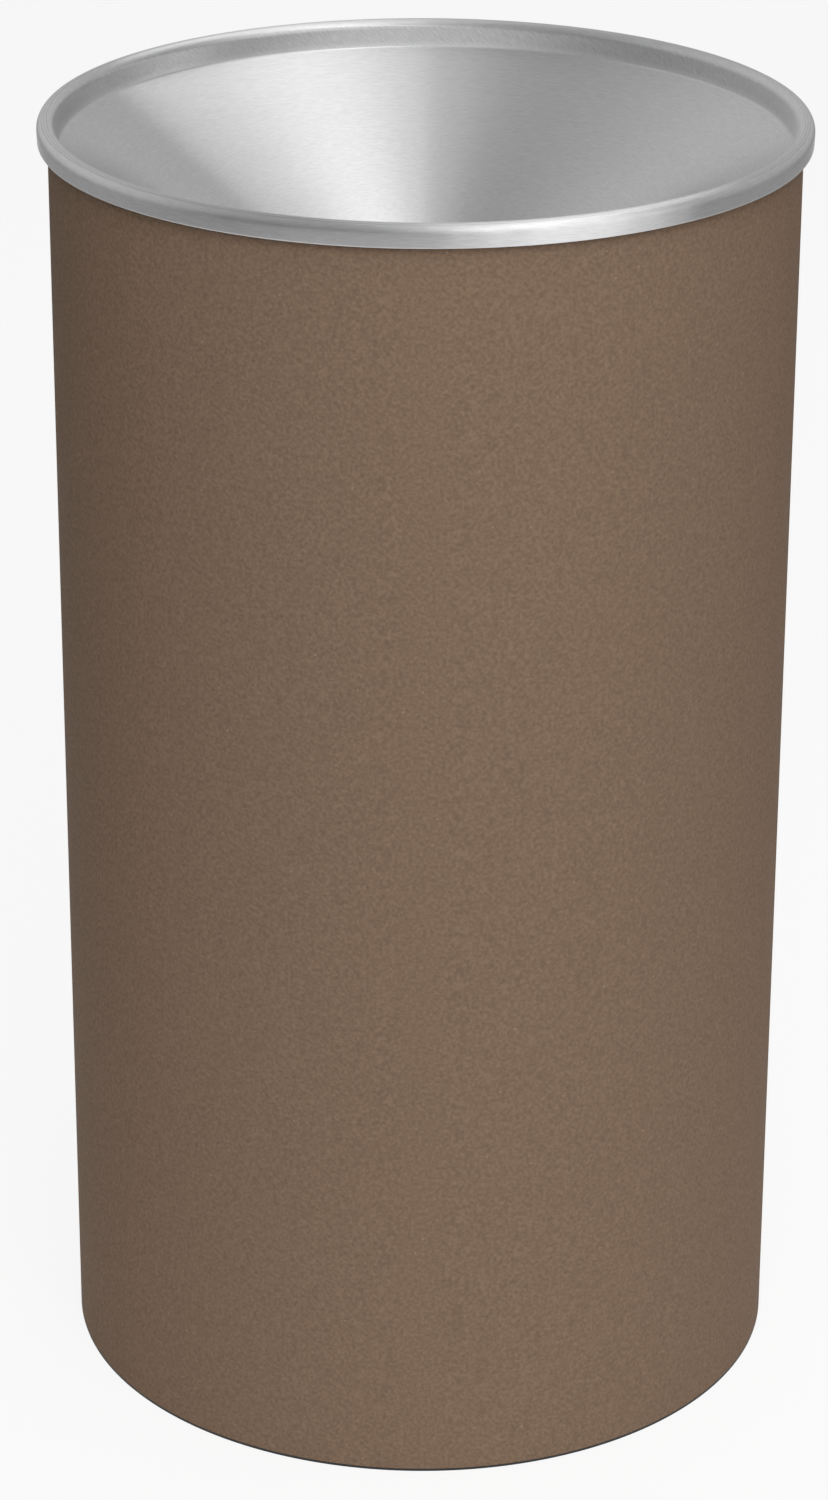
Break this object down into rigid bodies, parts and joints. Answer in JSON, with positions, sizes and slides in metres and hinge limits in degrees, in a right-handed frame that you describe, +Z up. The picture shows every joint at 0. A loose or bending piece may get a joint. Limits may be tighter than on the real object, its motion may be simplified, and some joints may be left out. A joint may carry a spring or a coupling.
{
  "type": "trash receptacle",
  "caption": "Round free-standing trash receptacle: textured steel cylinder with a spun aluminium funnel top and a lift-out liner with swinging handles.",
  "frame": {"origin": "middle of the footprint, on the floor", "axes": "+Z up along the cylinder's axis, front towards -Y, the back seam at +Y, the handles at +X and -X"},
  "size_m": [0.5119, 0.5118, 0.889],
  "materials": {
    "body_paint": "fine textured brown powder coat",
    "spun_aluminium": "satin, fine concentric spinning lines",
    "galvanised_sheet": "dull galvanised with soft spangle",
    "plated_wire": "zinc plated drawn wire",
    "plated_ears": "zinc plated",
    "black_vinyl": "matt extruded vinyl"
  },
  "bodies": {
    "body": {"body_shell": "body_paint", "base_plate": "body_paint", "foot_ring": "black_vinyl", "mouth_trim": "black_vinyl"},
    "liner": {"liner_wall": "galvanised_sheet", "liner_floor": "galvanised_sheet", "rim_wire": "plated_wire", "right_front_ear": "plated_ears", "right_rear_ear": "plated_ears", "left_front_ear": "plated_ears", "left_rear_ear": "plated_ears", "ear_rivets": "plated_ears"},
    "lid": {"funnel_top": "spun_aluminium"},
    "right_handle": {"right_handle": "plated_wire"},
    "left_handle": {"left_handle": "plated_wire"}
  },
  "joints": [
    {"name": "liner_lift", "type": "slide", "parent": "body", "child": "liner", "axis": [0, 0, 1], "range_m": [0, 0.87]},
    {"name": "lid_lift", "type": "slide", "parent": "liner", "child": "lid", "axis": [0, 0, 1], "range_m": [0, 0.2]},
    {"name": "right_handle_swing", "type": "hinge", "parent": "liner", "child": "right_handle", "pos_m": [0.21, 0, 0.7687], "axis": [0, 1, 0], "range_deg": [0, 180]},
    {"name": "left_handle_swing", "type": "hinge", "parent": "liner", "child": "left_handle", "pos_m": [-0.21, 0, 0.7687], "axis": [0, -1, 0], "range_deg": [0, 180]}
  ]
}
